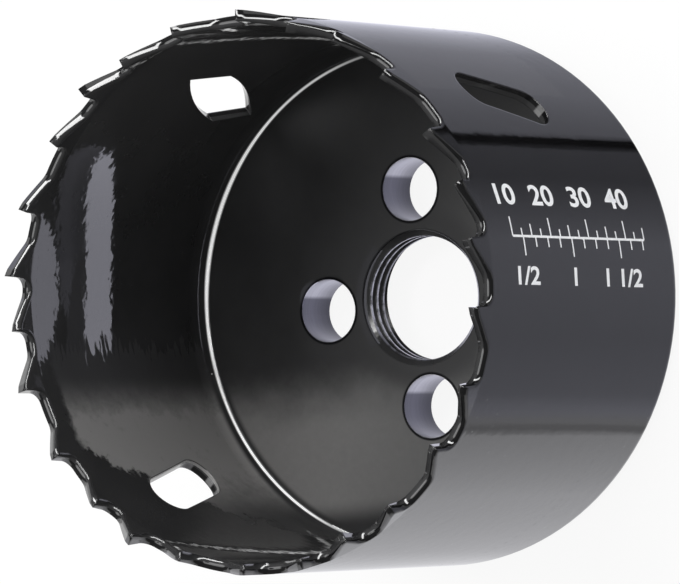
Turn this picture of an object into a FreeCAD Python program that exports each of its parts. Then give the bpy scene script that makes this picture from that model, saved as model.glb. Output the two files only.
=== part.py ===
import FreeCAD, Part
import math
import os

# Hole saw: a round steel cup with a ring of saw teeth on its rim.
# The origin is the centre of the flat back face. +Z points along the cutting
# axis at the teeth, and +X through the middle of one long slot. Angles are
# counted from +X towards +Y, and the saw cuts turning that way.
# Lengths are in millimetres and angles in degrees.

# Cup
CUTTING_DIAMETER = 76.0          # across the tips of the teeth that are set outwards
OVERALL_HEIGHT = 54.0            # back face to tooth tips
WALL_THICKNESS = 1.5

# Back plate
PLATE_THICKNESS = 7.2
BACK_EDGE_RADIUS = 2.0           # rounding round the back face
INNER_CORNER_RADIUS = 4.0        # hollow corner between the plate and the wall
THREAD_DIAMETER = 19.05          # major diameter of the arbor thread, 3/4 inch
THREAD_LEAD_IN = 1.0             # chamfer where the arbor enters at the back
PIN_HOLE_COUNT = 4
PIN_HOLE_DIAMETER = 8.8
PIN_CIRCLE_DIAMETER = 30.5
PIN_FIRST_ANGLE = 50.1
PLATE_STRETCHES = 12             # equal stretches that the plate's rounded rim is turned in

# Two equal slots with round ends, for levering the cut-out plug free
LONG_SLOT_ANGLES = (0.0, 178.6)
LONG_SLOT_HEIGHT = 29.2          # back face to the middle of the slot
LONG_SLOT_LENGTH = 17.9
LONG_SLOT_WIDTH = 6.6
LONG_SLOT_LEAN = 15.0            # the upper end leans forward, with the cut

# One wide slot whose ends are cut on a slant and bowed outwards
WIDE_SLOT_ANGLE = 262.7
WIDE_SLOT_HEIGHT = 23.3
WIDE_SLOT_SIDE = 8.3             # length of each straight side
WIDE_SLOT_WIDTH = 10.4
WIDE_SLOT_SLANT = 13.0           # how far each end drops across the width
WIDE_SLOT_BOW = 1.0              # how far each end bows out
WIDE_SLOT_LEAN = 10.6

# Teeth
TOOTH_COUNT = 26
TOOTH_FIRST_ANGLE = 114.2
TOOTH_PITCHES = (10.7, 9.4, 7.7, 8.5)  # repeated round the rim and stretched to close
TOOTH_DEPTH = 3.7                # tip to gullet floor
TOOTH_SET = 0.5                  # how far a tip leans out of the wall, or into the cup
FACE_LEAN = 3.5                  # the foot of the cutting face lies ahead of the tip
LAND_LENGTH = 1.1                # shallow ground strip right behind the tip
LAND_ANGLE = 25.0
BACK_ANGLE = 39.0                # steeper back of the tooth, down to the gullet
GULLET_CORNER_RADIUS = 1.6       # at the foot of the cutting face
GULLET_BLEND_RADIUS = 2.2        # where the back runs out on the floor
EDGE_BAND = 1.1                  # tooth steel between the gullet floors and the weld

# Values that follow from the sizes above
CUTTING_RADIUS = CUTTING_DIAMETER / 2
OUTER_RADIUS = CUTTING_RADIUS - TOOTH_SET
INNER_RADIUS = OUTER_RADIUS - WALL_THICKNESS
RIM_HEIGHT = PLATE_THICKNESS + INNER_CORNER_RADIUS
GULLET_HEIGHT = OVERALL_HEIGHT - TOOTH_DEPTH
WELD_HEIGHT = GULLET_HEIGHT - EDGE_BAND

AXIS = FreeCAD.Vector(0, 0, 1)
CENTRE = FreeCAD.Vector(0, 0, 0)


def section_point(radius, height):
    """Return a point of the section that is turned round the axis."""
    return FreeCAD.Vector(radius, 0, height)


def wall_point(along, height):
    """Return a point of the plane that touches the wall at angle zero."""
    return FreeCAD.Vector(OUTER_RADIUS, along, height)


def corner_arc(before, corner, after, radius):
    """Return the start, middle and end of the arc that rounds a corner."""
    back = (before - corner).normalize()
    ahead = (after - corner).normalize()
    half_angle = back.getAngle(ahead) / 2
    inward = (back + ahead).normalize()
    tangent = radius / math.tan(half_angle)
    middle = corner + inward * (radius / math.sin(half_angle) - radius)
    return corner + back * tangent, middle, corner + ahead * tangent


def rounded_face(corners):
    """Return the face inside corners given as (point, rounding radius)."""
    pieces = []
    for index, (corner, radius) in enumerate(corners):
        if radius == 0:
            pieces.append((corner, None, corner))
            continue
        before = corners[index - 1][0]
        after = corners[(index + 1) % len(corners)][0]
        pieces.append(corner_arc(before, corner, after, radius))
    edges = []
    for index, (start, middle, end) in enumerate(pieces):
        if middle is not None:
            edges.append(Part.Arc(start, middle, end).toShape())
        following = pieces[(index + 1) % len(pieces)][0]
        if end.distanceToPoint(following) > 1e-6:
            edges.append(Part.LineSegment(end, following).toShape())
    return Part.Face(Part.Wire(edges))


def turned(shape, angle):
    """Return a copy of a shape turned round the saw's axis."""
    copy = shape.copy()
    copy.rotate(CENTRE, AXIS, angle)
    return copy


def arc_angle(length):
    """Return the angle that a length takes up on the cutting circle."""
    return math.degrees(length / CUTTING_RADIUS)


def back_plate():
    """Dished steel cap with the arbor thread's bore and the drive-pin holes."""
    section = rounded_face([
        (section_point(0, 0), 0),
        (section_point(OUTER_RADIUS, 0), BACK_EDGE_RADIUS),
        (section_point(OUTER_RADIUS, RIM_HEIGHT), 0),
        (section_point(INNER_RADIUS, RIM_HEIGHT), 0),
        (section_point(INNER_RADIUS, PLATE_THICKNESS), INNER_CORNER_RADIUS),
        (section_point(0, PLATE_THICKNESS), 0),
    ])
    step = 360 / PLATE_STRETCHES
    stretch = turned(section, PIN_FIRST_ANGLE).revolve(CENTRE, AXIS, step)
    others = [turned(stretch, step * index) for index in range(1, PLATE_STRETCHES)]
    plate = stretch.fuse(others)
    return plate.cut([threaded_bore()] + pin_holes()).removeSplitter()


def threaded_bore():
    """Bore at the thread's major diameter, with the lead-in at the back."""
    radius = THREAD_DIAMETER / 2
    section = rounded_face([
        (section_point(0, 0), 0),
        (section_point(radius + THREAD_LEAD_IN, 0), 0),
        (section_point(radius, THREAD_LEAD_IN), 0),
        (section_point(radius, PLATE_THICKNESS), 0),
        (section_point(0, PLATE_THICKNESS), 0),
    ])
    return section.revolve(CENTRE, AXIS, 360)


def pin_holes():
    """Through holes for the arbor's drive pins, evenly round their circle."""
    hole = Part.makeCylinder(
        PIN_HOLE_DIAMETER / 2,
        PLATE_THICKNESS,
        FreeCAD.Vector(PIN_CIRCLE_DIAMETER / 2, 0, 0),
    )
    step = 360 / PIN_HOLE_COUNT
    return [turned(hole, PIN_FIRST_ANGLE + step * index) for index in range(PIN_HOLE_COUNT)]


def side_wall():
    """Strip steel rolled into a tube, with its slots."""
    outside = Part.makeCylinder(
        OUTER_RADIUS,
        WELD_HEIGHT - RIM_HEIGHT,
        FreeCAD.Vector(0, 0, RIM_HEIGHT),
    )
    inside = Part.makeCylinder(
        INNER_RADIUS,
        WELD_HEIGHT - RIM_HEIGHT,
        FreeCAD.Vector(0, 0, RIM_HEIGHT),
    )
    cutters = [long_slot(angle) for angle in LONG_SLOT_ANGLES]
    cutters.append(wide_slot())
    return outside.cut([inside] + cutters)


def long_slot(angle):
    """Cutter for a slot with parallel sides and full round ends."""
    side = LONG_SLOT_LENGTH - LONG_SLOT_WIDTH
    bow = LONG_SLOT_WIDTH / 2
    cutter = slot_cutter(LONG_SLOT_WIDTH, side, 0, bow, LONG_SLOT_LEAN, LONG_SLOT_HEIGHT)
    return turned(cutter, angle)


def wide_slot():
    """Cutter for the slot with slanted, bowed ends."""
    cutter = slot_cutter(
        WIDE_SLOT_WIDTH,
        WIDE_SLOT_SIDE,
        WIDE_SLOT_SLANT,
        WIDE_SLOT_BOW,
        WIDE_SLOT_LEAN,
        WIDE_SLOT_HEIGHT,
    )
    return turned(cutter, WIDE_SLOT_ANGLE)


def slot_cutter(width, side, slant, bow, lean, height):
    """Two straight sides joined by arcs, pushed through the wall at angle zero."""
    left = -width / 2
    right = width / 2
    left_top = wall_point(left, (side + slant) / 2)
    left_foot = wall_point(left, (slant - side) / 2)
    right_foot = wall_point(right, -(side + slant) / 2)
    right_top = wall_point(right, (side - slant) / 2)
    outline = Part.Wire([
        Part.LineSegment(left_top, left_foot).toShape(),
        bowed_end(left_foot, right_foot, bow),
        Part.LineSegment(right_foot, right_top).toShape(),
        bowed_end(right_top, left_top, bow),
    ])
    face = Part.Face(outline)
    face.rotate(wall_point(0, 0), FreeCAD.Vector(1, 0, 0), -lean)
    face.translate(FreeCAD.Vector(WALL_THICKNESS, 0, height))
    return face.extrude(FreeCAD.Vector(-4 * WALL_THICKNESS, 0, 0))


def bowed_end(start, end, bow):
    """Arc from start to end that bows out to the right of that direction."""
    chord = end - start
    outward = chord.cross(FreeCAD.Vector(1, 0, 0)).normalize()
    middle = start + chord / 2 + outward * bow
    return Part.Arc(start, middle, end).toShape()


def tooth_angles():
    """Angle of each tooth tip, with one more at the end that closes the circle."""
    pitches = [TOOTH_PITCHES[index % len(TOOTH_PITCHES)] for index in range(TOOTH_COUNT)]
    stretch = 360 / sum(pitches)
    angles = [TOOTH_FIRST_ANGLE]
    for pitch in pitches:
        angles.append(angles[-1] + pitch * stretch)
    return angles


def tooth_sets():
    """Lean of each tooth: one straight tooth in four, the rest by turns out and in."""
    sets = []
    outward = True
    for index in range(TOOTH_COUNT):
        if index % len(TOOTH_PITCHES) == 1:
            sets.append(0)
            continue
        sets.append(TOOTH_SET if outward else -TOOTH_SET)
        outward = not outward
    return sets


def tooth_corners():
    """Corners of one tooth seen square on, from the floor behind it to the gullet."""
    land_run = LAND_LENGTH * math.cos(math.radians(LAND_ANGLE))
    land_drop = LAND_LENGTH * math.sin(math.radians(LAND_ANGLE))
    back_run = (TOOTH_DEPTH - land_drop) / math.tan(math.radians(BACK_ANGLE))
    face_run = TOOTH_DEPTH * math.tan(math.radians(FACE_LEAN))
    return [
        (wall_point(-land_run - back_run, GULLET_HEIGHT), GULLET_BLEND_RADIUS),
        (wall_point(-land_run, OVERALL_HEIGHT - land_drop), 0),
        (wall_point(0, OVERALL_HEIGHT), 0),
        (wall_point(face_run, GULLET_HEIGHT), GULLET_CORNER_RADIUS),
    ]


def tooth_prism():
    """The tooth's side view carried through the wall, with floor on both sides."""
    reach = 2 * max(TOOTH_PITCHES)
    foot = WELD_HEIGHT - EDGE_BAND
    corners = [(wall_point(-reach, foot), 0), (wall_point(-reach, GULLET_HEIGHT), 0)]
    corners += tooth_corners()
    corners += [(wall_point(reach, GULLET_HEIGHT), 0), (wall_point(reach, foot), 0)]
    face = rounded_face(corners)
    face.translate(FreeCAD.Vector(-4 * WALL_THICKNESS, 0, 0))
    return face.extrude(FreeCAD.Vector(8 * WALL_THICKNESS, 0, 0))


def edge_sector(start, end, lean):
    """Stretch of the edge band that bends by the tooth's set above the floor."""
    section = rounded_face([
        (section_point(INNER_RADIUS, WELD_HEIGHT), 0),
        (section_point(OUTER_RADIUS, WELD_HEIGHT), 0),
        (section_point(OUTER_RADIUS, GULLET_HEIGHT), 0),
        (section_point(OUTER_RADIUS + lean, OVERALL_HEIGHT), 0),
        (section_point(INNER_RADIUS + lean, OVERALL_HEIGHT), 0),
        (section_point(INNER_RADIUS, GULLET_HEIGHT), 0),
    ])
    return turned(section, start).revolve(CENTRE, AXIS, end - start)


def tooth_edge():
    """Ring of tooth steel, one sector for each tooth from floor to floor."""
    angles = tooth_angles()
    sets = tooth_sets()
    prism = tooth_prism()
    corners = tooth_corners()
    floor_behind = arc_angle(-corners[0][0].y)
    floor_ahead = arc_angle(corners[-1][0].y + GULLET_CORNER_RADIUS)
    # the joints lie midway along the gullet floors
    joints = []
    for tip, following in zip(angles, angles[1:]):
        joints.append((tip + floor_ahead + following - floor_behind) / 2)
    teeth = []
    for index in range(TOOTH_COUNT):
        end = joints[index]
        start = joints[index - 1] if index else joints[-1] - 360
        sector = edge_sector(start, end, sets[index])
        teeth.append(sector.common(turned(prism, angles[index])))
    ring = teeth[0].fuse(teeth[1:])
    return ring.removeSplitter()


def write_parts():
    """Write each physical piece to its own file."""
    pieces = {
        "back_plate": back_plate(),
        "side_wall": side_wall(),
        "tooth_edge": tooth_edge(),
    }
    os.makedirs("parts", exist_ok=True)
    for name, shape in pieces.items():
        if len(shape.Solids) != 1 or not shape.isValid():
            raise RuntimeError(name + " is not one valid solid")
        shape.Solids[0].exportStep("parts/" + name + ".step")
        print(name, round(shape.Volume, 1), "mm3")


write_parts()
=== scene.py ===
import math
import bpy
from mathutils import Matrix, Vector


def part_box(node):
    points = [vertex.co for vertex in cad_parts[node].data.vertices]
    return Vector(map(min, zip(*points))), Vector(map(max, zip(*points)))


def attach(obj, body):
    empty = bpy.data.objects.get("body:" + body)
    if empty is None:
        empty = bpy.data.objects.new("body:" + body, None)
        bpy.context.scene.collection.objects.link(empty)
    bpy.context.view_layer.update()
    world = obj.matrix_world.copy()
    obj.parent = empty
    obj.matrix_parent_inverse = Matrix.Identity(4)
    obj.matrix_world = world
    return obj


bl_info = {
    "name": "Hole Saw Looks",
    "version": (1, 0, 0),
    "blender": (4, 5, 0),
    "location": "3D View > Sidebar > Hole Saw",
    "description": "Paint, thread, depth scale and studio for a hole saw",
    "category": "Object",
}

import bmesh
import bpy
from bpy.props import FloatProperty, FloatVectorProperty, IntProperty, PointerProperty
from mathutils import Matrix, Vector

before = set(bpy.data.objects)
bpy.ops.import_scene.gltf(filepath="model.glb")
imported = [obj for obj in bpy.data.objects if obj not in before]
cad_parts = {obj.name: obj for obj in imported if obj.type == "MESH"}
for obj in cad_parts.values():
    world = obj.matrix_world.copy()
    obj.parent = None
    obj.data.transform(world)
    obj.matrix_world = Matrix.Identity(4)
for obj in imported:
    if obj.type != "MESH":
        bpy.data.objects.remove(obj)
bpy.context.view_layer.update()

MM = 0.001
INCH = 25.4 * MM

# The saw's own sizes, where they aren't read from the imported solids.
WALL_RADIUS = 37.5 * MM
HALF_WALL = 0.75 * MM
PLATE_THICKNESS = 7.2 * MM
TOOTH_TIP_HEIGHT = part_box("tooth_edge")[1].z
PIN_CIRCLE_RADIUS = 15.25 * MM
PIN_HOLE_RADIUS = 4.4 * MM
PIN_FIRST_ANGLE = math.radians(50.1)
RIM_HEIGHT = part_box("side_wall")[0].z
WELD_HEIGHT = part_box("side_wall")[1].z
# Radius of the painted highlight line in the hollow corner, and its middle.
HIGHLIGHT_LINE_RADIUS = 34.69 * MM
HIGHLIGHT_LINE_MIDDLE = HIGHLIGHT_LINE_RADIUS + 0.19 * MM

# Heights and radii where one finish of the plate gives way to the next.
FACE_HEIGHT = PLATE_THICKNESS - 0.1 * MM
SATIN_LOW = PLATE_THICKNESS + 1.7 * MM
SATIN_HIGH = PLATE_THICKNESS + 2.5 * MM
BARE_RADIUS = PIN_HOLE_RADIUS + 0.06 * MM
# Radii of the rim of painted shade round each pin hole.
SHADED_RIM_INSIDE = PIN_HOLE_RADIUS + 0.26 * MM
SHADED_RIM_OUTSIDE = PIN_HOLE_RADIUS + 0.5 * MM

# Dust in the paint, and the marks that turning leaves in the steel.
DUST_SPACING = 2.6 * MM
DUST_HEIGHT = 0.02 * MM
TURNING_SPACING = 0.5 * MM
TURNING_HEIGHT = 0.008 * MM

# How strongly each coat mirrors, as a refractive index.
GLOSS_INDEX = 1.55
SATIN_WALL_INDEX = 1.25
SATIN_PLATE_INDEX = 1.2
SHADED_RIM_INDEX = 1.15

# Painted reflection: tones of the bare steel round a drive-pin hole, lighter and darker by the angle, a
# full turn from its right side.
HOLE_REFLECTION_TONES = [
    (0.00, (0.16, 0.16, 0.17)),
    (0.20, (0.17, 0.17, 0.175)),
    (0.34, (0.14, 0.14, 0.152)),
    (0.46, (0.092, 0.092, 0.11)),
    (0.58, (0.08, 0.08, 0.098)),
    (0.60, (0.34, 0.34, 0.36)),
    (0.80, (0.39, 0.39, 0.41)),
    (0.95, (0.2, 0.2, 0.21)),
]

# Tones of the painted highlight line in the hollow corner, which also glows, a full turn from +X.
HIGHLIGHT_LINE_TONES = [
    (0.0, 0.8), (0.03, 0.8), (0.058, 0.3), (0.3, 0.2), (0.5, 0.12), (0.65, 0.1), (0.694, 0.5),
    (0.722, 0.56), (0.75, 0.71), (0.86, 0.8), (0.889, 0.7), (0.917, 0.45), (0.944, 0.6), (0.98, 0.76),
]

# Shape of the thread, as parts of its pitch.
THREAD_DEPTH = 0.5413
THREAD_HALF_ROOT = 0.4375
THREAD_HALF_CREST = 0.125

# The slope of its flanks, and how far its root is sunk into the bore.
THREAD_SLOPE = math.radians(30)
THREAD_SINK = 0.04 * MM

# The depth scale: its start below the tooth tips, its length and its ink.
SCALE_START = 10 * MM
SCALE_LENGTH = 35 * MM
INK_THICKNESS = 0.03 * MM

# Four ticks in turn from one figure to the next, and where the figures stand.
TICK_STEP = 2.5 * MM
TICKS = (2.6 * MM, 1.1 * MM, 1.7 * MM, 1.1 * MM)
FIGURE_ROW = 5.6 * MM

# The same for the inches, which have a tick at each eighth.
EIGHTHS = range(4, 15)
INCH_TICKS = (2.6 * MM, 1.4 * MM, 1.4 * MM, 1.4 * MM)
INCH_FIGURES = ((0.5, "1/2"), (1.0, "1"), (1.5, "1 1/2"))
INCH_FIGURE_ROW = -5.4 * MM
INCH_FIGURE_SIZE = 0.85

# The printed letters: cap height as a part of the size, extra weight and stretch.
CAP_HEIGHT = 0.73
FIGURE_WEIGHT = 0.03
FIGURE_STRETCH = 1.55

# Directions in the sky: the slanting strip's middle and side, and the soft patch.
STRIP_MIDDLE = (-0.716, -0.383, 0.584)
STRIP_SIDE = (-0.664, 0.112, -0.740)
PATCH_MIDDLE = (0.357, -0.395, 0.8465)

# How bright mirrors see the strip, the patch and the rest of the sky.
STRIP_STRENGTH = 22.0
PATCH_STRENGTH = 4.0
SKY_STRENGTH = 0.2

# The floor lies just under the saw, and the big card just over the floor.
FLOOR_HEIGHT = -0.02 * MM
CARD_HEIGHT = 0.01 * MM

# The card round the foot: its greys by the angle in degrees from the front.
CARD_FRONT = math.radians(132.1)
CARD_REACH = 240 * MM
CARD_SPREAD = 176
CARD_STRENGTH = 1.6
CARD_GREYS = [
    (-80, 0.88), (-68, 0.98), (-58, 1.2), (-46, 1.45), (-36, 1.33), (-29.6, 1.25),
    (-28.6, 0.6), (-27.6, 0.6), (-26.6, 0.8), (-24, 0.78), (-20, 0.58), (-8, 0.53),
    (4, 0.6), (12, 0.6), (18, 0.4), (26, 0.19), (33.2, 0.2), (34.0, 0.0), (36.0, 0.0),
    (36.8, 0.42), (48, 0.5), (64, 0.48), (76, 0.68), (84, 0.85),
]
CARD_NEUTRAL = (1.0, 1.0, 1.04)
CARD_BLUISH = (0.97, 0.98, 1.13)
CARD_BLUISH_FROM = -25

# Small cards: name, centre and two radii in mm, two angles in degrees, strength.
SMALL_CARDS = [
    ("slot_shade_card", (-12.5, -42.1, 8), 0, 8, 0, 360, 0.02),
    ("under_card", (0, 0, -0.01), 0, 33, 0, 360, 1.5),
    ("pin_glint_card", (12.1, -12.95, 7.26), 0, 2.25, 0, 360, 2.1),
    ("bore_glint_card", (0, 0, 7.25), 8.9, 10.6, 270, 355, 1.5),
    ("pin_shade_card", (8.9, -11.4, 7.24), 0, 2.0, 0, 360, 0.1),
]
SMALL_CARD_COLOUR = (0.87, 0.87, 1.0)

# Lamps: name, place and side in metres, and power.
LAMPS = [
    ("key_softbox", (0.15, -0.45, 0.75), 0.4, 4.0),
    ("fill_softbox", (-0.5, -0.35, 0.7), 0.4, 2.5),
]
LAMP_TARGET = (0, 0, 0.02)

# Where the camera stands, what it looks at and which way is up in its picture.
CAMERA_PLACE = (-0.320574, 0.353851, 0.787285)
CAMERA_TARGET = (0.000142, -0.000986, 0.027)
CAMERA_UP = (-0.73035, -0.68299, 0.01068)


class PaintSettings(bpy.types.PropertyGroup):
    colour: FloatVectorProperty(
        name="Paint colour",
        description="Colour of the black gloss paint",
        subtype="COLOR",
        default=(0.0065, 0.0065, 0.007),
        min=0,
        max=1,
    )
    gloss_blur: FloatProperty(
        name="Gloss blur",
        description="Roughness of the paint on the wall and the teeth",
        default=0.035,
        min=0,
        max=1,
        subtype="FACTOR",
    )
    plate_blur: FloatProperty(
        name="Plate blur",
        description="Roughness of the thin, dusty paint inside the cup",
        default=0.4,
        min=0,
        max=1,
        subtype="FACTOR",
    )
    inside_colour: FloatVectorProperty(
        name="Inside colour",
        description="Colour of the thinner, dustier paint inside the cup",
        subtype="COLOR",
        default=(0.038, 0.038, 0.039),
        min=0,
        max=1,
    )
    # Painted sheen: a paler colour laid on the dull inside where it would catch light. It is not a
    # colour of the paint itself.
    painted_sheen_colour: FloatVectorProperty(
        name="Dry spray colour",
        description="Colour where the spray landed dry and satin inside the cup",
        subtype="COLOR",
        default=(0.24, 0.236, 0.233),
        min=0,
        max=1,
    )
    peel_size: FloatProperty(
        name="Orange peel size",
        description="Distance between the soft dimples of the sprayed paint",
        default=1.7 * MM,
        unit="LENGTH",
    )
    peel_height: FloatProperty(
        name="Orange peel height",
        description="Height of the soft dimples of the sprayed paint",
        default=0.014 * MM,
        unit="LENGTH",
    )
    edge_radius: FloatProperty(
        name="Edge radius",
        description="Rounding that the paint gives to the edges of holes and slots",
        default=0.3 * MM,
        unit="LENGTH",
    )
    tooth_radius: FloatProperty(
        name="Tooth radius",
        description="Rounding that the paint gives to the teeth and their backs",
        default=0.62 * MM,
        unit="LENGTH",
    )


class ThreadSettings(bpy.types.PropertyGroup):
    diameter: FloatProperty(
        name="Thread diameter",
        description="Major diameter of the arbor thread, which is the bore of the solid",
        default=19.05 * MM,
        unit="LENGTH",
    )
    pitch: FloatProperty(
        name="Pitch",
        description="Rise of the thread in one turn, sixteen turns to the inch",
        default=INCH / 16,
        unit="LENGTH",
    )
    lead_in: FloatProperty(
        name="Lead-in",
        description="Depth of the chamfer at the back, where the ridge begins",
        default=1.0 * MM,
        unit="LENGTH",
    )
    steps: IntProperty(
        name="Steps",
        description="Straight pieces in one turn of the ridge",
        default=72,
        min=12,
    )


class ScaleSettings(bpy.types.PropertyGroup):
    colour: FloatVectorProperty(
        name="Print colour",
        description="Colour of the printed depth scale",
        subtype="COLOR",
        default=(0.85, 0.86, 0.88),
        min=0,
        max=1,
    )
    angle: FloatProperty(
        name="Angle",
        description="Place of the scale round the wall",
        default=math.radians(145.1),
        subtype="ANGLE",
        unit="ROTATION",
    )
    figure_height: FloatProperty(
        name="Figure height",
        description="Height of the printed figures",
        default=2.9 * MM,
        unit="LENGTH",
    )
    line_width: FloatProperty(
        name="Line width",
        description="Width of the printed lines",
        default=0.32 * MM,
        unit="LENGTH",
    )


class StageSettings(bpy.types.PropertyGroup):
    lens: FloatProperty(
        name="Lens",
        description="Focal length in millimetres, on a sensor 36 mm wide",
        default=347.4,
        min=1,
    )
    floor_size: FloatProperty(
        name="Floor size",
        description="Side of the square floor",
        default=6.0,
        unit="LENGTH",
    )


def add_node(tree, kind, inputs=None, **properties):
    """Add a shader node, and set or link its sockets by name or number."""
    node = tree.nodes.new(kind)
    for name, value in properties.items():
        setattr(node, name, value)
    for name, value in (inputs or {}).items():
        socket = node.inputs[name]
        if isinstance(value, bpy.types.NodeSocket):
            tree.links.new(value, socket)
        else:
            socket.default_value = value
    return node


def add_math(tree, operation, *values):
    """Add a math node and return its result."""
    node = add_node(tree, "ShaderNodeMath", dict(enumerate(values)), operation=operation)
    return node.outputs[0]


def multiply(tree, product, *values):
    """Multiply two or more values."""
    for value in values:
        product = add_math(tree, "MULTIPLY", product, value)
    return product


def add_vector_math(tree, operation, *vectors, **inputs):
    """Add a vector math node and return its vector, or the value of a dot product."""
    inputs.update(enumerate(vectors))
    node = add_node(tree, "ShaderNodeVectorMath", inputs, operation=operation)
    return node.outputs["Value" if operation == "DOT_PRODUCT" else "Vector"]


def add_mix(tree, kind, share, first, second, **properties):
    """Blend from a first vector or colour to a second."""
    inputs = {"Factor": share, "A": first, "B": second}
    return add_node(tree, "ShaderNodeMix", inputs, data_type=kind, **properties).outputs["Result"]


def mix_shaders(tree, share, first, second):
    """Blend from a first shader to a second."""
    return add_node(tree, "ShaderNodeMixShader", {0: share, 1: first, 2: second}).outputs[0]


def add_noise(tree, place, size, detail=3, roughness=0.5):
    """Add a noise whose features lie about size apart, and return its value."""
    inputs = {"Vector": place, "Scale": 1 / size, "Detail": detail, "Roughness": roughness}
    return add_node(tree, "ShaderNodeTexNoise", inputs).outputs["Fac"]


def add_ramp(tree, value, stops):
    """Add a colour ramp from (position, grey or colour) stops and return its colour."""
    node = add_node(tree, "ShaderNodeValToRGB", {"Fac": value})
    elements = node.color_ramp.elements
    while len(elements) < len(stops):
        elements.new(0.5)
    for element, (position, tone) in zip(elements, stops):
        element.position = position
        element.color = opaque(tone if isinstance(tone, tuple) else (tone, tone, tone))
    return node.outputs["Color"]


def add_bump(tree, height, distance, normal):
    """Add a bump node and return its normal."""
    inputs = {"Height": height, "Distance": distance, "Normal": normal}
    return add_node(tree, "ShaderNodeBump", inputs).outputs["Normal"]


def round_edges(tree, radius, samples):
    """Normals rounded at every edge."""
    return add_node(tree, "ShaderNodeBevel", {"Radius": radius}, samples=samples).outputs["Normal"]


def move_place(tree, place, **changes):
    """Add a mapping node that turns or stretches a place, and return its vector."""
    return add_node(tree, "ShaderNodeMapping", {"Vector": place, **changes}).outputs["Vector"]


def split_place(tree, place):
    """X, Y and Z of a place."""
    node = add_node(tree, "ShaderNodeSeparateXYZ", {"Vector": place})
    return [node.outputs[name] for name in "XYZ"]


def smooth_step(tree, value, low, high):
    """Rise smoothly from zero at low to one at high."""
    return add_node(
        tree,
        "ShaderNodeMapRange",
        {"Value": value, "From Min": low, "From Max": high},
        interpolation_type="SMOOTHSTEP",
        clamp=True,
    ).outputs["Result"]


def smooth_step_degrees(tree, angle, low, high):
    """Rise smoothly from zero to one between two limits in degrees."""
    return smooth_step(tree, angle, math.radians(low), math.radians(high))


def length_of(tree, x, y):
    """Length of a vector in the plane."""
    square = add_math(tree, "MULTIPLY", y, y)
    return add_math(tree, "SQRT", add_math(tree, "MULTIPLY_ADD", x, x, square))


def radius_of(tree, place):
    """Distance of a place from the saw's axis."""
    x, y, _ = split_place(tree, place)
    return length_of(tree, x, y)


def distance_from(tree, value, level):
    """How far a value is from a level, on either side."""
    return add_math(tree, "ABSOLUTE", add_math(tree, "SUBTRACT", value, level))


def part_of_turn(tree, angle):
    """Turn an angle into a number from zero to one."""
    return add_math(tree, "FRACT", add_math(tree, "DIVIDE", angle, math.tau))


def opaque(colour):
    """Give a colour the fourth channel that shader sockets have."""
    return (*colour, 1)


def new_material(name):
    """Return a new material with an empty tree and its output node."""
    material = bpy.data.materials.new(name)
    material.use_nodes = True
    tree = material.node_tree
    tree.nodes.clear()
    return material, tree, tree.nodes.new("ShaderNodeOutputMaterial")


def object_place(tree):
    """Place on the object itself."""
    return tree.nodes.new("ShaderNodeTexCoord").outputs["Object"]


def painted_edges(tree, place, radius):
    """Normals rounded at every edge, but not where one solid is welded to the next."""
    soft = round_edges(tree, radius, 8)
    true = tree.nodes.new("ShaderNodeNewGeometry").outputs["Normal"]
    height = split_place(tree, place)[2]
    from_rim = distance_from(tree, height, RIM_HEIGHT)
    from_weld = distance_from(tree, height, WELD_HEIGHT)
    nearest = add_math(tree, "MINIMUM", from_rim, from_weld)
    share = smooth_step(tree, nearest, 0.95 * radius, 1.25 * radius)
    return add_mix(tree, "VECTOR", share, true, soft)


def half_round(tree, place, normal, strength):
    """Lean normals outwards and inwards across the wall, as paint beads on its rim."""
    off_middle = add_math(tree, "SUBTRACT", radius_of(tree, place), WALL_RADIUS - HALF_WALL)
    across = add_math(tree, "DIVIDE", off_middle, HALF_WALL)
    bounded = add_node(tree, "ShaderNodeClamp", {"Value": across, "Min": -1.0, "Max": 1.0})
    lean = add_math(tree, "MULTIPLY", bounded.outputs[0], strength)
    flat = add_vector_math(tree, "MULTIPLY", place, (1, 1, 0))
    out = add_vector_math(tree, "NORMALIZE", flat)
    push = add_vector_math(tree, "SCALE", out, Scale=lean)
    bead = add_vector_math(tree, "ADD", normal, push)
    height = split_place(tree, place)[2]
    share = smooth_step(tree, height, WELD_HEIGHT + 0.4 * MM, WELD_HEIGHT + 1.0 * MM)
    return add_vector_math(tree, "NORMALIZE", add_mix(tree, "VECTOR", share, normal, bead))


def level_corner(tree, place, normal):
    """Shade the hollow corner as level as the plate, up to the painted highlight line."""
    radius = radius_of(tree, place)
    height = split_place(tree, place)[2]
    beyond = smooth_step(tree, radius, 31.0 * MM, 31.5 * MM)
    before = smooth_step(tree, radius, HIGHLIGHT_LINE_RADIUS, HIGHLIGHT_LINE_RADIUS - 0.3 * MM)
    inside = add_math(tree, "GREATER_THAN", height, PLATE_THICKNESS - 0.3 * MM)
    share = multiply(tree, beyond, before, inside)
    return add_mix(tree, "VECTOR", share, normal, (0.0, 0.0, 1.0))


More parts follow.
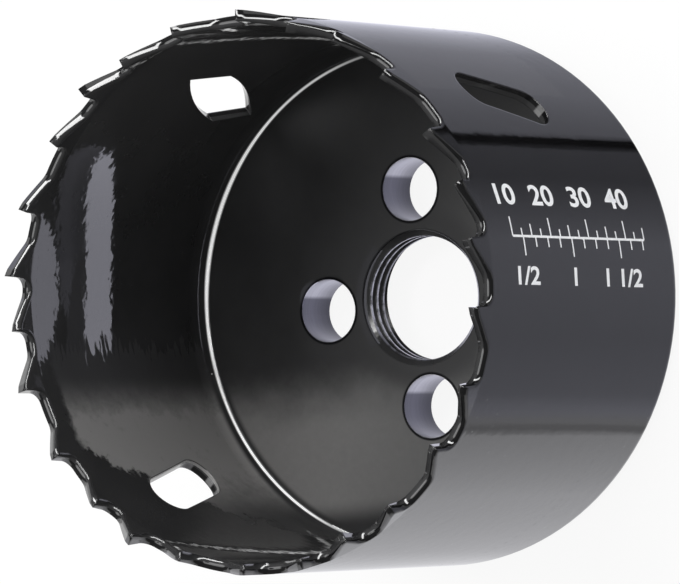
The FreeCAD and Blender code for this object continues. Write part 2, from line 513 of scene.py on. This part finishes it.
def paint_shader(tree, place, paint, normal, blur):
    """Sprayed black gloss: orange peel, fine grain, dust and a duller inside."""
    peel = add_noise(tree, place, paint.peel_size, detail=1.5)
    dimples = add_bump(tree, peel, paint.peel_height, normal)
    dust = add_node(
        tree,
        "ShaderNodeTexVoronoi",
        {"Vector": place, "Scale": 1 / DUST_SPACING, "Randomness": 1.0},
    ).outputs["Distance"]
    specks = add_ramp(tree, dust, [(0.0, 1.0), (0.035, 1.0), (0.06, 0.0)])
    grain = add_bump(tree, specks, DUST_HEIGHT, dimples)
    cloud = add_noise(tree, place, 9 * MM, detail=5, roughness=0.6)
    inside = add_math(tree, "LESS_THAN", radius_of(tree, place), WALL_RADIUS - HALF_WALL)
    thin = add_mix(tree, "RGBA", inside, opaque(paint.colour), opaque(paint.inside_colour))
    shade = add_ramp(tree, cloud, [(0.3, 0.75), (0.7, 1.0)])
    colour = add_mix(tree, "RGBA", 1.0, thin, shade, blend_type="MULTIPLY")
    rough = add_math(tree, "MULTIPLY_ADD", cloud, blur, 0.5 * blur)
    return add_node(
        tree,
        "ShaderNodeBsdfPrincipled",
        {"Base Color": colour, "Roughness": rough, "IOR": GLOSS_INDEX, "Normal": grain},
    )


def lay_painted_sheen(tree, gloss, patch, dull, colour):
    """Lay a paler painted sheen where the patch says so, and make the paint satin where it is dull."""
    layers = [("Base Color", patch, opaque(colour))]
    if dull is not None:
        layers.append(("Roughness", dull, (0.5, 0.5, 0.5, 1)))
    # The colour laid here is the painted sheen. The roughness laid here is the satin of the dull paint.
    for name, share, dry in layers:
        wet = gloss.inputs[name].links[0].from_socket
        tree.links.new(add_mix(tree, "RGBA", share, wet, dry), gloss.inputs[name])


def painted_sheen_wall_patch(tree, place):
    """Where the inner wall is painted paler as a sheen, and where its gloss is dulled."""
    x, y, z = split_place(tree, place)
    inside = add_math(tree, "LESS_THAN", radius_of(tree, place), WALL_RADIUS - 1.0 * MM)
    angle = add_math(tree, "ARCTAN2", y, x)
    # The torn upper edge of the painted sheen, which slants along the wall.
    torn = add_noise(tree, place, 3.2 * MM, detail=6, roughness=0.65)
    ragged = add_math(tree, "MULTIPLY_ADD", torn, 0.42, -0.21)
    slope = add_math(tree, "MULTIPLY_ADD", z, -16.0, 0.565)
    past_edge = add_math(tree, "SUBTRACT", add_math(tree, "ADD", angle, ragged), slope)
    below = smooth_step(tree, past_edge, 0.03, -0.03)
    above = smooth_step_degrees(tree, angle, -29, -15)
    # The long fingers in which the dullness begins.
    drawn_out = move_place(tree, place, Scale=(0.2, 0.2, 1.0))
    fingers = add_noise(tree, drawn_out, 1.0 * MM, detail=3, roughness=0.6)
    sooner = add_math(tree, "MULTIPLY_ADD", fingers, 0.34, add_math(tree, "SUBTRACT", angle, 0.17))
    dulled = smooth_step_degrees(tree, sooner, -36, -34.5)
    upper = smooth_step(tree, add_math(tree, "MULTIPLY_ADD", torn, 0.004, z), 50 * MM, 48.2 * MM)
    fading = smooth_step_degrees(tree, angle, 14, -8)
    # The dull foot of the wall further round, next to the plate.
    low = smooth_step(tree, z, 19 * MM, 14 * MM)
    foot = add_math(tree, "MULTIPLY", low, smooth_step_degrees(tree, angle, -80, -95))
    dull = add_math(tree, "MAXIMUM", add_math(tree, "MULTIPLY", dulled, below), foot)
    brushed = add_noise(tree, place, 2.2 * MM, detail=6, roughness=0.7)
    strokes = add_math(tree, "MULTIPLY_ADD", brushed, 1.8, 0.27)
    clouds = add_noise(tree, place, 7 * MM, detail=3, roughness=0.6)
    blotches = add_math(tree, "MULTIPLY_ADD", clouds, 1.0, 0.52)
    # The patch is painted sheen: a paler colour where the inner wall would catch light.
    patch = multiply(tree, below, above, upper, fading, inside, strokes, blotches)
    return patch, multiply(tree, dull, inside, upper)


def plate_face(tree, place):
    """One on the inner face of the plate, out to the painted highlight line."""
    height = split_place(tree, place)[2]
    above = add_math(tree, "GREATER_THAN", height, FACE_HEIGHT)
    within = add_math(tree, "LESS_THAN", radius_of(tree, place), HIGHLIGHT_LINE_RADIUS)
    return add_math(tree, "MULTIPLY", above, within)


def painted_sheen_plate_patch(tree, place):
    """Where the plate is painted paler as a sheen: one side whole, another half."""
    turned = move_place(tree, place, Rotation=(0, 0, -PIN_FIRST_ANGLE))
    x, y, z = split_place(tree, turned)
    radius = radius_of(tree, place)
    inner = add_math(tree, "GREATER_THAN", z, FACE_HEIGHT)
    within = smooth_step(tree, radius, HIGHLIGHT_LINE_RADIUS - 0.1 * MM, HIGHLIGHT_LINE_RADIUS - 0.9 * MM)
    off_bore = smooth_step(tree, radius, 10.5 * MM, 14 * MM)
    cloud = add_noise(tree, place, 7 * MM, detail=5, roughness=0.6)
    wander = add_math(tree, "MULTIPLY_ADD", cloud, 6 * MM, x)
    low = smooth_step(tree, wander, 9.5 * MM, 20 * MM)
    right = smooth_step(tree, y, 0.0, 14 * MM)
    side = multiply(tree, right, smooth_step(tree, wander, -20 * MM, -4 * MM), 0.5)
    both = add_math(tree, "MAXIMUM", low, side)
    off_corner = smooth_step(tree, x, 30.5 * MM, 26.5 * MM)
    fading = add_math(tree, "MULTIPLY_ADD", smooth_step(tree, y, 2 * MM, -26 * MM), 0.5, 0.3)
    grain = add_noise(tree, place, 1.2 * MM, detail=6, roughness=0.7)
    specks = add_math(tree, "MULTIPLY_ADD", grain, 0.3, 0.85)
    return multiply(tree, both, off_corner, within, inner, off_bore, fading, specks)


def painted_highlight_line(tree, place):
    """Mask of the painted highlight line in the hollow corner, and its tone."""
    x, y, z = split_place(tree, place)
    far = distance_from(tree, radius_of(tree, place), HIGHLIGHT_LINE_MIDDLE)
    slim = add_math(tree, "MULTIPLY_ADD", smooth_step(tree, x, 20 * MM, 32 * MM), 0.45, 1.0)
    slim = add_math(tree, "MULTIPLY_ADD", smooth_step(tree, x, 12 * MM, -6 * MM), 0.45, slim)
    line = smooth_step(tree, add_math(tree, "MULTIPLY", far, slim), 0.3 * MM, 0.04 * MM)
    inside = add_math(tree, "GREATER_THAN", z, PLATE_THICKNESS + 0.3 * MM)
    turn = part_of_turn(tree, add_math(tree, "ARCTAN2", y, x))
    return add_math(tree, "MULTIPLY", line, inside), add_ramp(tree, turn, HIGHLIGHT_LINE_TONES)


def steel_shader(tree, place, tone, soft_edge=0.15 * MM):
    """Bare machined steel with turning marks that ring each hole, and painted shade that darkens it
    deeper in.
    """
    rings = move_place(tree, place, Scale=(0.12, 0.12, 1.0))
    marks = add_noise(tree, rings, TURNING_SPACING, detail=4, roughness=0.65)
    streaks = add_ramp(tree, marks, [(0.25, 0.8), (0.75, 1.15)])
    # Painted shade: the steel is darker deeper in the hole, towards the back.
    depth = smooth_step(tree, split_place(tree, place)[2], -0.5 * MM, PLATE_THICKNESS)
    painted_depth_shade = add_ramp(tree, depth, [(0.0, 0.4), (0.8, 1.0)])
    colour = tone
    for shade in (streaks, painted_depth_shade):
        colour = add_mix(tree, "RGBA", 1.0, colour, shade, blend_type="MULTIPLY")
    rough = add_math(tree, "MULTIPLY_ADD", marks, 0.2, 0.28)
    bump = add_bump(tree, marks, TURNING_HEIGHT, round_edges(tree, soft_edge, 4))
    return add_node(
        tree,
        "ShaderNodeBsdfPrincipled",
        {"Base Color": colour, "Metallic": 1.0, "Roughness": rough, "Normal": bump},
    ).outputs["BSDF"]


def bare_holes(tree, place):
    """Mask of the drive-pin holes, of the rims of painted shade round them, and the steel's tone, a
    painted reflection.
    """
    turned = move_place(tree, place, Rotation=(0, 0, -PIN_FIRST_ANGLE))
    x, y, _ = split_place(tree, turned)
    masks = []
    shaded_rims = []
    angles = []
    for hole_x, hole_y in ((1, 0), (0, 1), (-1, 0), (0, -1)):
        along = add_math(tree, "SUBTRACT", x, PIN_CIRCLE_RADIUS * hole_x)
        across = add_math(tree, "SUBTRACT", y, PIN_CIRCLE_RADIUS * hole_y)
        distance = length_of(tree, along, across)
        near = add_math(tree, "LESS_THAN", distance, BARE_RADIUS)
        masks.append(near)
        shaded_rims.append(smooth_step(tree, distance, SHADED_RIM_OUTSIDE, SHADED_RIM_INSIDE))
        angles.append(add_math(tree, "MULTIPLY", add_math(tree, "ARCTAN2", along, across), near))
    sums = []
    for shares in (masks, shaded_rims, angles):
        total = shares[0]
        for share in shares[1:]:
            total = add_math(tree, "ADD", total, share)
        sums.append(total)
    mask, shaded_rim, angle = sums
    return mask, shaded_rim, add_ramp(tree, part_of_turn(tree, angle), HOLE_REFLECTION_TONES)


class HOLESAW_OT_paint(bpy.types.Operator):
    """Paint the wall and the teeth, and the plate with its bare steel holes"""

    bl_idname = "holesaw.paint"
    bl_label = "Paint the Saw"

    def execute(self, context):
        paint = context.scene.holesaw_paint
        for node_name in ("side_wall", "tooth_edge", "back_plate"):
            material, tree, output = new_material(node_name + "_paint")
            surface = getattr(self, node_name)(tree, object_place(tree), paint)
            tree.links.new(surface, output.inputs["Surface"])
            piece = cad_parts[node_name]
            piece.data.materials.clear()
            piece.data.materials.append(material)
        return {"FINISHED"}

    def side_wall(self, tree, place, paint):
        """Gloss outside, with one side painted a little paler as light, and partly satin inside with a
        painted sheen.
        """
        normal = painted_edges(tree, place, paint.edge_radius)
        gloss = paint_shader(tree, place, paint, normal, paint.gloss_blur)
        x, y, _ = split_place(tree, place)
        # Painted light: one side of the wall a little paler, by the angle round it.
        painted_light_side = smooth_step_degrees(tree, add_math(tree, "ARCTAN2", y, x), -68, -82)
        painted_light_share = add_math(tree, "MULTIPLY", painted_light_side, 0.04)
        lay_painted_sheen(tree, gloss, painted_light_share, None, paint.painted_sheen_colour)
        flat = tree.nodes.new("ShaderNodeNewGeometry").outputs["True Normal"]
        level = add_vector_math(tree, "DOT_PRODUCT", normal, flat)
        off_edge = smooth_step(tree, level, 0.9, 0.985)
        return self.lay_satin(tree, place, paint, normal, gloss.outputs["BSDF"], off_edge)

    def lay_satin(self, tree, place, paint, normal, painted, share):
        """Lay the satin, dusty coat of the inner wall over the gloss, with its painted sheen."""
        satin = paint_shader(tree, place, paint, normal, paint.plate_blur)
        satin.inputs["IOR"].default_value = SATIN_WALL_INDEX
        patch, dull = painted_sheen_wall_patch(tree, place)
        lay_painted_sheen(tree, satin, patch, dull, paint.painted_sheen_colour)
        return mix_shaders(tree, multiply(tree, dull, share), painted, satin.outputs["BSDF"])

    def tooth_edge(self, tree, place, paint):
        """Gloss that beads on the backs of the teeth."""
        rounded = painted_edges(tree, place, paint.tooth_radius)
        normal = half_round(tree, place, rounded, 0.95)
        return paint_shader(tree, place, paint, normal, paint.gloss_blur).outputs["BSDF"]

    def back_plate(self, tree, place, paint):
        """Satin face with a painted sheen, a glowing painted highlight line, and bare holes with rims
        of painted shade.
        """
        rounded = painted_edges(tree, place, paint.edge_radius)
        gloss = paint_shader(tree, place, paint, rounded, paint.gloss_blur)
        dusty = paint_shader(tree, place, paint, level_corner(tree, place, rounded), paint.plate_blur)
        dusty.inputs["IOR"].default_value = SATIN_PLATE_INDEX
        # Painted sheen on the plate, which also turns it satin.
        patch = painted_sheen_plate_patch(tree, place)
        lay_painted_sheen(tree, dusty, patch, patch, paint.painted_sheen_colour)
        face = plate_face(tree, place)
        painted = mix_shaders(tree, face, gloss.outputs["BSDF"], dusty.outputs["BSDF"])
        height = split_place(tree, place)[2]
        corner = smooth_step(tree, height, SATIN_LOW, SATIN_HIGH)
        painted = self.lay_satin(tree, place, paint, rounded, painted, corner)
        mask, tone = painted_highlight_line(tree, place)
        # Painted highlight: a pale tone that glows, standing in for the reflection in the hollow
        # corner.
        line = add_node(
            tree,
            "ShaderNodeBsdfPrincipled",
            {
                "Base Color": tone,
                "Roughness": 0.4,
                "Normal": rounded,
                "Emission Color": tone,
                "Emission Strength": 0.7,
            },
        ).outputs["BSDF"]
        lined = mix_shaders(tree, mask, painted, line)
        # The steel's tone round each hole is a painted reflection.
        holes, shaded_rims, tone = bare_holes(tree, place)
        # Painted shade: a near-black rim round each pin hole, for the dark that its rounded edge would
        # mirror.
        dark = add_node(
            tree,
            "ShaderNodeBsdfPrincipled",
            {"Base Color": (0.004, 0.004, 0.005, 1), "Roughness": 0.5, "IOR": SHADED_RIM_INDEX},
        ).outputs["BSDF"]
        lined = mix_shaders(tree, shaded_rims, lined, dark)
        return mix_shaders(tree, holes, lined, steel_shader(tree, place, tone))


class HOLESAW_OT_thread(bpy.types.Operator):
    """Wind the thread's ridge inside the centre bore"""

    bl_idname = "holesaw.thread"
    bl_label = "Wind the Thread"

    def execute(self, context):
        thread = context.scene.holesaw_thread
        major = thread.diameter / 2
        crest = major - thread.pitch * THREAD_DEPTH
        root = major + THREAD_SINK
        half_root = thread.pitch * THREAD_HALF_ROOT + THREAD_SINK * math.tan(THREAD_SLOPE)
        half_crest = thread.pitch * THREAD_HALF_CREST
        mesh = bmesh.new()
        corners = [(root, -half_root), (crest, -half_crest), (crest, half_crest), (root, half_root)]
        section = [mesh.verts.new((radius, 0, height - thread.pitch)) for radius, height in corners]
        mesh.faces.new(section)
        turns = math.ceil(PLATE_THICKNESS / thread.pitch) + 2
        bmesh.ops.spin(
            mesh,
            geom=mesh.verts[:] + mesh.edges[:] + mesh.faces[:],
            cent=(0, 0, 0),
            axis=(0, 0, 1),
            dvec=(0, 0, thread.pitch / thread.steps),
            angle=math.tau * turns,
            steps=thread.steps * turns,
            use_merge=False,
            use_duplicate=False,
        )
        trim_thread(mesh, thread.lead_in, PLATE_THICKNESS)
        for vertex in mesh.verts:
            radius = Vector(vertex.co.xy).length
            ends = min(vertex.co.z - thread.lead_in, PLATE_THICKNESS - vertex.co.z)
            least = min(major - ends, root)
            if radius < least:
                vertex.co.xy *= least / radius
        bmesh.ops.recalc_face_normals(mesh, faces=mesh.faces)
        ridge = new_piece("thread_ridge", mesh)
        material, tree, output = new_material("thread_paint")
        place = object_place(tree)
        paint = context.scene.holesaw_paint
        soft_edge = round_edges(tree, 0.12 * MM, 4)
        gloss = paint_shader(tree, place, paint, soft_edge, 4 * paint.gloss_blur)
        steel = steel_shader(tree, place, (0.30, 0.30, 0.32, 1), 0.12 * MM)
        surface = mix_shaders(tree, worn_crests(tree, place, crest), gloss.outputs["BSDF"], steel)
        tree.links.new(surface, output.inputs["Surface"])
        ridge.data.materials.append(material)
        return {"FINISHED"}


def worn_crests(tree, place, crest_radius):
    """Where the paint has worn off the thread: in broken lines along its crest."""
    radius = radius_of(tree, place)
    near = smooth_step(tree, radius, crest_radius + 0.22 * MM, crest_radius + 0.06 * MM)
    wear = add_noise(tree, place, 1.1 * MM, detail=4, roughness=0.6)
    return add_math(tree, "MULTIPLY", near, add_ramp(tree, wear, [(0.4, 0.15), (0.55, 0.9)]))


def trim_thread(mesh, low, high):
    """Cut the ridge off at both ends of the bore and close the cuts."""
    for height, side in ((low, -1), (high, 1)):
        cut = bmesh.ops.bisect_plane(
            mesh,
            geom=mesh.verts[:] + mesh.edges[:] + mesh.faces[:],
            plane_co=(0, 0, height),
            plane_no=(0, 0, side),
            clear_outer=True,
        )
        rim = [item for item in cut["geom_cut"] if isinstance(item, bmesh.types.BMEdge)]
        bmesh.ops.holes_fill(mesh, edges=rim, sides=0)


def new_object(name, mesh):
    """Turn a bmesh into an object of the scene."""
    data = bpy.data.meshes.new(name)
    mesh.to_mesh(data)
    mesh.free()
    item = bpy.data.objects.new(name, data)
    bpy.context.scene.collection.objects.link(item)
    return item


def new_piece(name, mesh):
    """Turn a bmesh into a piece of the saw that rides on its body."""
    piece = new_object(name, mesh)
    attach(piece, "root")
    return piece


def new_card(name, mesh, material):
    """Turn a bmesh into a card of the stage that only the gloss can see."""
    card = new_object(name, mesh)
    for ray in ("camera", "diffuse", "shadow", "transmission"):
        setattr(card, "visible_" + ray, False)
    card.data.materials.append(material)


def add_bar(mesh, along, across, length, width):
    """Add a flat bar to a drawing whose X runs down the wall and Y round it."""
    place = Matrix.Translation((along, across, 0)) @ Matrix.Diagonal((length / 2, width / 2, 1, 1))
    bmesh.ops.create_grid(mesh, x_segments=6, y_segments=6, size=1, matrix=place)


def add_figures(mesh, text, along, across, height):
    """Add printed figures, centred at a point of the drawing."""
    curve = bpy.data.curves.new("figures", "FONT")
    curve.body = text
    curve.size = height / CAP_HEIGHT
    curve.offset = height * FIGURE_WEIGHT
    curve.align_x = "CENTER"
    curve.align_y = "CENTER"
    writer = bpy.data.objects.new("figures", curve)
    flat = bpy.data.meshes.new_from_object(writer)
    stretch = Matrix.Diagonal((FIGURE_STRETCH, 1, 1, 1))
    flat.transform(Matrix.Translation((along, across, 0)) @ stretch)
    mesh.from_mesh(flat)
    bpy.data.objects.remove(writer)
    bpy.data.curves.remove(curve)
    bpy.data.meshes.remove(flat)


def wrap_on_wall(mesh, angle, height, lift):
    """Bend a flat drawing round the wall, its X running towards the back."""
    radius = WALL_RADIUS + lift
    for vertex in mesh.verts:
        along, across, _ = vertex.co
        turn = angle + across / WALL_RADIUS
        vertex.co = (radius * math.cos(turn), radius * math.sin(turn), height - along)


class HOLESAW_OT_depth_scale(bpy.types.Operator):
    """Print a plain depth scale on the wall, counted from the tooth tips"""

    bl_idname = "holesaw.depth_scale"
    bl_label = "Print the Depth Scale"

    def execute(self, context):
        scale = context.scene.holesaw_scale
        mesh = bmesh.new()
        width = scale.line_width
        add_bar(mesh, SCALE_LENGTH / 2, 0, SCALE_LENGTH, width)
        for step in range(round(SCALE_LENGTH / TICK_STEP) + 1):
            depth = step * TICK_STEP
            tick = TICKS[step % 4]
            add_bar(mesh, depth, tick / 2, width, tick)
            if step % 4 == 0:
                figures = str(10 + step // 4 * 10)
                add_figures(mesh, figures, depth, FIGURE_ROW, scale.figure_height)
        for eighth in EIGHTHS:
            depth = eighth * INCH / 8 - SCALE_START
            tick = INCH_TICKS[eighth % 4]
            add_bar(mesh, depth, -tick / 2, width, tick)
        for inches, text in INCH_FIGURES:
            depth = inches * INCH - SCALE_START
            add_figures(mesh, text, depth, INCH_FIGURE_ROW, scale.figure_height * INCH_FIGURE_SIZE)
        wrap_on_wall(mesh, scale.angle, TOOTH_TIP_HEIGHT - SCALE_START, INK_THICKNESS)
        bmesh.ops.recalc_face_normals(mesh, faces=mesh.faces)
        printed = new_piece("depth_scale", mesh)
        material, tree, output = new_material("white_print")
        worn = add_noise(tree, object_place(tree), 0.5 * MM, detail=4)
        greyed = [0.9 * channel for channel in scale.colour]
        tone = add_mix(tree, "RGBA", worn, opaque(greyed), opaque(scale.colour))
        ink = add_node(tree, "ShaderNodeBsdfPrincipled", {"Base Color": tone, "Roughness": 0.45})
        tree.links.new(ink.outputs["BSDF"], output.inputs["Surface"])
        printed.data.materials.append(material)
        return {"FINISHED"}


def add_glow(tree, colour, strength):
    """Add an emission shader and return it."""
    inputs = {"Color": colour, "Strength": strength}
    return add_node(tree, "ShaderNodeEmission", inputs).outputs[0]


def add_background(tree, **inputs):
    """Add a background shader and return it."""
    return add_node(tree, "ShaderNodeBackground", inputs).outputs[0]


def seen_directly(tree):
    """One for rays from the camera, and one for mirror or see-through rays."""
    path = tree.nodes.new("ShaderNodeLightPath").outputs
    mirror = add_math(tree, "MAXIMUM", path["Is Glossy Ray"], path["Is Transmission Ray"])
    return path["Is Camera Ray"], mirror


def aim(place, target, up):
    """Matrix of a camera or lamp that looks from a place at a target."""
    back = (Vector(place) - Vector(target)).normalized()
    right = Vector(up).cross(back).normalized()
    top = back.cross(right)
    turn = Matrix((right, top, back)).transposed()
    return Matrix.Translation(place) @ turn.to_4x4()


class HOLESAW_OT_stage(bpy.types.Operator):
    """Lay the floor, light the saw and set up the camera"""

    bl_idname = "holesaw.stage"
    bl_label = "Set the Stage"

    def execute(self, context):
        stage = context.scene.holesaw_stage
        self.lay_floor(stage)
        self.lay_card()
        self.lay_small_cards()
        self.light_sky(context)
        self.hang_lamps(context)
        self.place_camera(context, stage)
        context.scene.view_settings.view_transform = "Standard"
        return {"FINISHED"}

    def lay_floor(self, stage):
        """A floor that is white to the camera and in mirrors, and grey to the lamps."""
        mesh = bmesh.new()
        place = Matrix.Translation((0, 0, FLOOR_HEIGHT))
        bmesh.ops.create_grid(mesh, x_segments=1, y_segments=1, size=stage.floor_size / 2, matrix=place)
        floor = new_object("floor", mesh)
        material, tree, output = new_material("pale_floor")
        camera_ray, mirror_ray = seen_directly(tree)
        matt = add_node(tree, "ShaderNodeBsdfDiffuse", {"Color": (0.85, 0.85, 0.85, 1)}).outputs[0]
        seen = add_math(tree, "MULTIPLY", camera_ray, 0.9)
        share = add_math(tree, "MAXIMUM", seen, mirror_ray)
        surface = mix_shaders(tree, share, matt, add_glow(tree, (1, 1, 1, 1), 1.0))
        tree.links.new(surface, output.inputs["Surface"])
        floor.data.materials.append(material)

    def lay_card(self):
        """A bright and dark card round the foot, which only the gloss can see."""
        mesh = bmesh.new()
        bmesh.ops.create_grid(mesh, x_segments=120, y_segments=6, size=0.5)
        layer = mesh.loops.layers.uv.new("turn")
        for face in mesh.faces:
            for loop in face.loops:
                loop[layer].uv = (loop.vert.co.x + 0.5, loop.vert.co.y + 0.5)
        for vertex in mesh.verts:
            turn = vertex.co.x * math.radians(CARD_SPREAD)
            reach = (vertex.co.y + 0.5) * CARD_REACH
            x = WALL_RADIUS * math.cos(CARD_FRONT + turn) + reach * math.cos(CARD_FRONT + 2 * turn)
            y = WALL_RADIUS * math.sin(CARD_FRONT + turn) + reach * math.sin(CARD_FRONT + 2 * turn)
            vertex.co = (x, y, CARD_HEIGHT)
        material, tree, output = new_material("card_grey")
        turn = add_node(tree, "ShaderNodeUVMap", uv_map="turn").outputs["UV"]
        tones = []
        for angle, grey in CARD_GREYS:
            tint = CARD_NEUTRAL if angle < CARD_BLUISH_FROM else CARD_BLUISH
            tone = tuple(grey / CARD_STRENGTH * part for part in tint)
            tones.append((0.5 + angle / CARD_SPREAD, tone))
        glow = add_glow(tree, add_ramp(tree, split_place(tree, turn)[0], tones), CARD_STRENGTH)
        tree.links.new(glow, output.inputs["Surface"])
        new_card("reflector_card", mesh, material)

    def lay_small_cards(self):
        """Small cards by the wide slot, under the holes, over a pin hole and by the bore."""
        for name, centre, near, far, first, last, strength in SMALL_CARDS:
            mesh = bmesh.new()
            middle = Vector(centre) * MM
            start = Vector((math.cos(math.radians(first)), math.sin(math.radians(first)), 0))
            inner = mesh.verts.new(middle + start * near * MM)
            outer = mesh.verts.new(middle + start * far * MM)
            edge = mesh.edges.new((inner, outer))
            bmesh.ops.spin(
                mesh,
                geom=[inner, outer, edge],
                cent=middle,
                axis=(0, 0, 1),
                angle=math.radians(last - first),
                steps=48,
                use_merge=last - first == 360,
                use_duplicate=False,
            )
            material, tree, output = new_material(name + "_tone")
            glow = add_glow(tree, opaque(SMALL_CARD_COLOUR), strength)
            tree.links.new(glow, output.inputs["Surface"])
            new_card(name, mesh, material)

    def light_sky(self, context):
        """White to the camera, soft on the saw, and a strip and a patch in mirrors."""
        world = bpy.data.worlds.new("studio_sky")
        world.use_nodes = True
        context.scene.world = world
        tree = world.node_tree
        tree.nodes.clear()
        output = tree.nodes.new("ShaderNodeOutputWorld")
        camera_ray, mirror_ray = seen_directly(tree)
        direction = tree.nodes.new("ShaderNodeTexCoord").outputs["Generated"]
        strip = self.strip_light(tree, direction)
        ahead = add_vector_math(tree, "DOT_PRODUCT", direction, PATCH_MIDDLE)
        patch = add_math(tree, "MULTIPLY", smooth_step(tree, ahead, 0.91, 0.97), PATCH_STRENGTH)
        bounces = tree.nodes.new("ShaderNodeLightPath").outputs["Glossy Depth"]
        first = add_math(tree, "LESS_THAN", bounces, 1.5)
        both = add_math(tree, "MULTIPLY_ADD", strip, STRIP_STRENGTH, patch)
        strength = add_math(tree, "MULTIPLY_ADD", both, first, SKY_STRENGTH)
        mirrored = add_background(tree, Strength=strength)
        soft = add_background(tree, Color=(0.8, 0.8, 0.8, 1))
        white = add_background(tree, Color=(1, 1, 1, 1))
        lit = mix_shaders(tree, mirror_ray, soft, mirrored)
        sky = mix_shaders(tree, camera_ray, lit, white)
        tree.links.new(sky, output.inputs["Surface"])

    def strip_light(self, tree, direction):
        """One in a slanting strip of the sky, which the backs of the teeth mirror."""
        side = add_vector_math(tree, "DOT_PRODUCT", direction, STRIP_SIDE)
        towards = add_vector_math(tree, "DOT_PRODUCT", direction, STRIP_MIDDLE)
        narrow = smooth_step(tree, add_math(tree, "ABSOLUTE", side), 0.17, 0.11)
        short = smooth_step(tree, towards, 0.62, 0.7)
        return add_math(tree, "MULTIPLY", narrow, short)

    def hang_lamps(self, context):
        """Two large lamps that mirrors don't show."""
        for name, place, size, power in LAMPS:
            data = bpy.data.lights.new(name, "AREA")
            data.shape = "SQUARE"
            data.size = size
            data.energy = power
            lamp = bpy.data.objects.new(name, data)
            lamp.matrix_world = aim(place, LAMP_TARGET, (0, 0, 1))
            lamp.visible_glossy = False
            context.scene.collection.objects.link(lamp)

    def place_camera(self, context, stage):
        """A far camera with a long lens, looking into the cup."""
        data = bpy.data.cameras.new("camera")
        data.lens = stage.lens
        data.sensor_width = 36
        data.clip_start = 0.1
        data.clip_end = 20
        camera = bpy.data.objects.new("camera", data)
        camera.matrix_world = aim(CAMERA_PLACE, CAMERA_TARGET, CAMERA_UP)
        context.scene.collection.objects.link(camera)
        context.scene.camera = camera


class HOLESAW_PT_panel(bpy.types.Panel):
    bl_label = "Hole Saw"
    bl_idname = "HOLESAW_PT_panel"
    bl_space_type = "VIEW_3D"
    bl_region_type = "UI"
    bl_category = "Hole Saw"

    def draw(self, context):
        scene = context.scene
        parts = [
            ("holesaw.paint", scene.holesaw_paint),
            ("holesaw.thread", scene.holesaw_thread),
            ("holesaw.depth_scale", scene.holesaw_scale),
            ("holesaw.stage", scene.holesaw_stage),
        ]
        for operator, settings in parts:
            box = self.layout.box()
            for name in settings.__annotations__:
                box.prop(settings, name)
            box.operator(operator)


SETTINGS = {
    "holesaw_paint": PaintSettings,
    "holesaw_thread": ThreadSettings,
    "holesaw_scale": ScaleSettings,
    "holesaw_stage": StageSettings,
}

CLASSES = [
    *SETTINGS.values(),
    HOLESAW_OT_paint,
    HOLESAW_OT_thread,
    HOLESAW_OT_depth_scale,
    HOLESAW_OT_stage,
    HOLESAW_PT_panel,
]


def register():
    for item in CLASSES:
        bpy.utils.register_class(item)
    for name, settings in SETTINGS.items():
        setattr(bpy.types.Scene, name, PointerProperty(type=settings))


def unregister():
    for name in SETTINGS:
        delattr(bpy.types.Scene, name)
    for item in reversed(CLASSES):
        bpy.utils.unregister_class(item)


def main():
    register()
    bpy.ops.holesaw.paint()
    bpy.ops.holesaw.thread()
    bpy.ops.holesaw.depth_scale()
    bpy.ops.holesaw.stage()


if __name__ == "__main__":
    main()
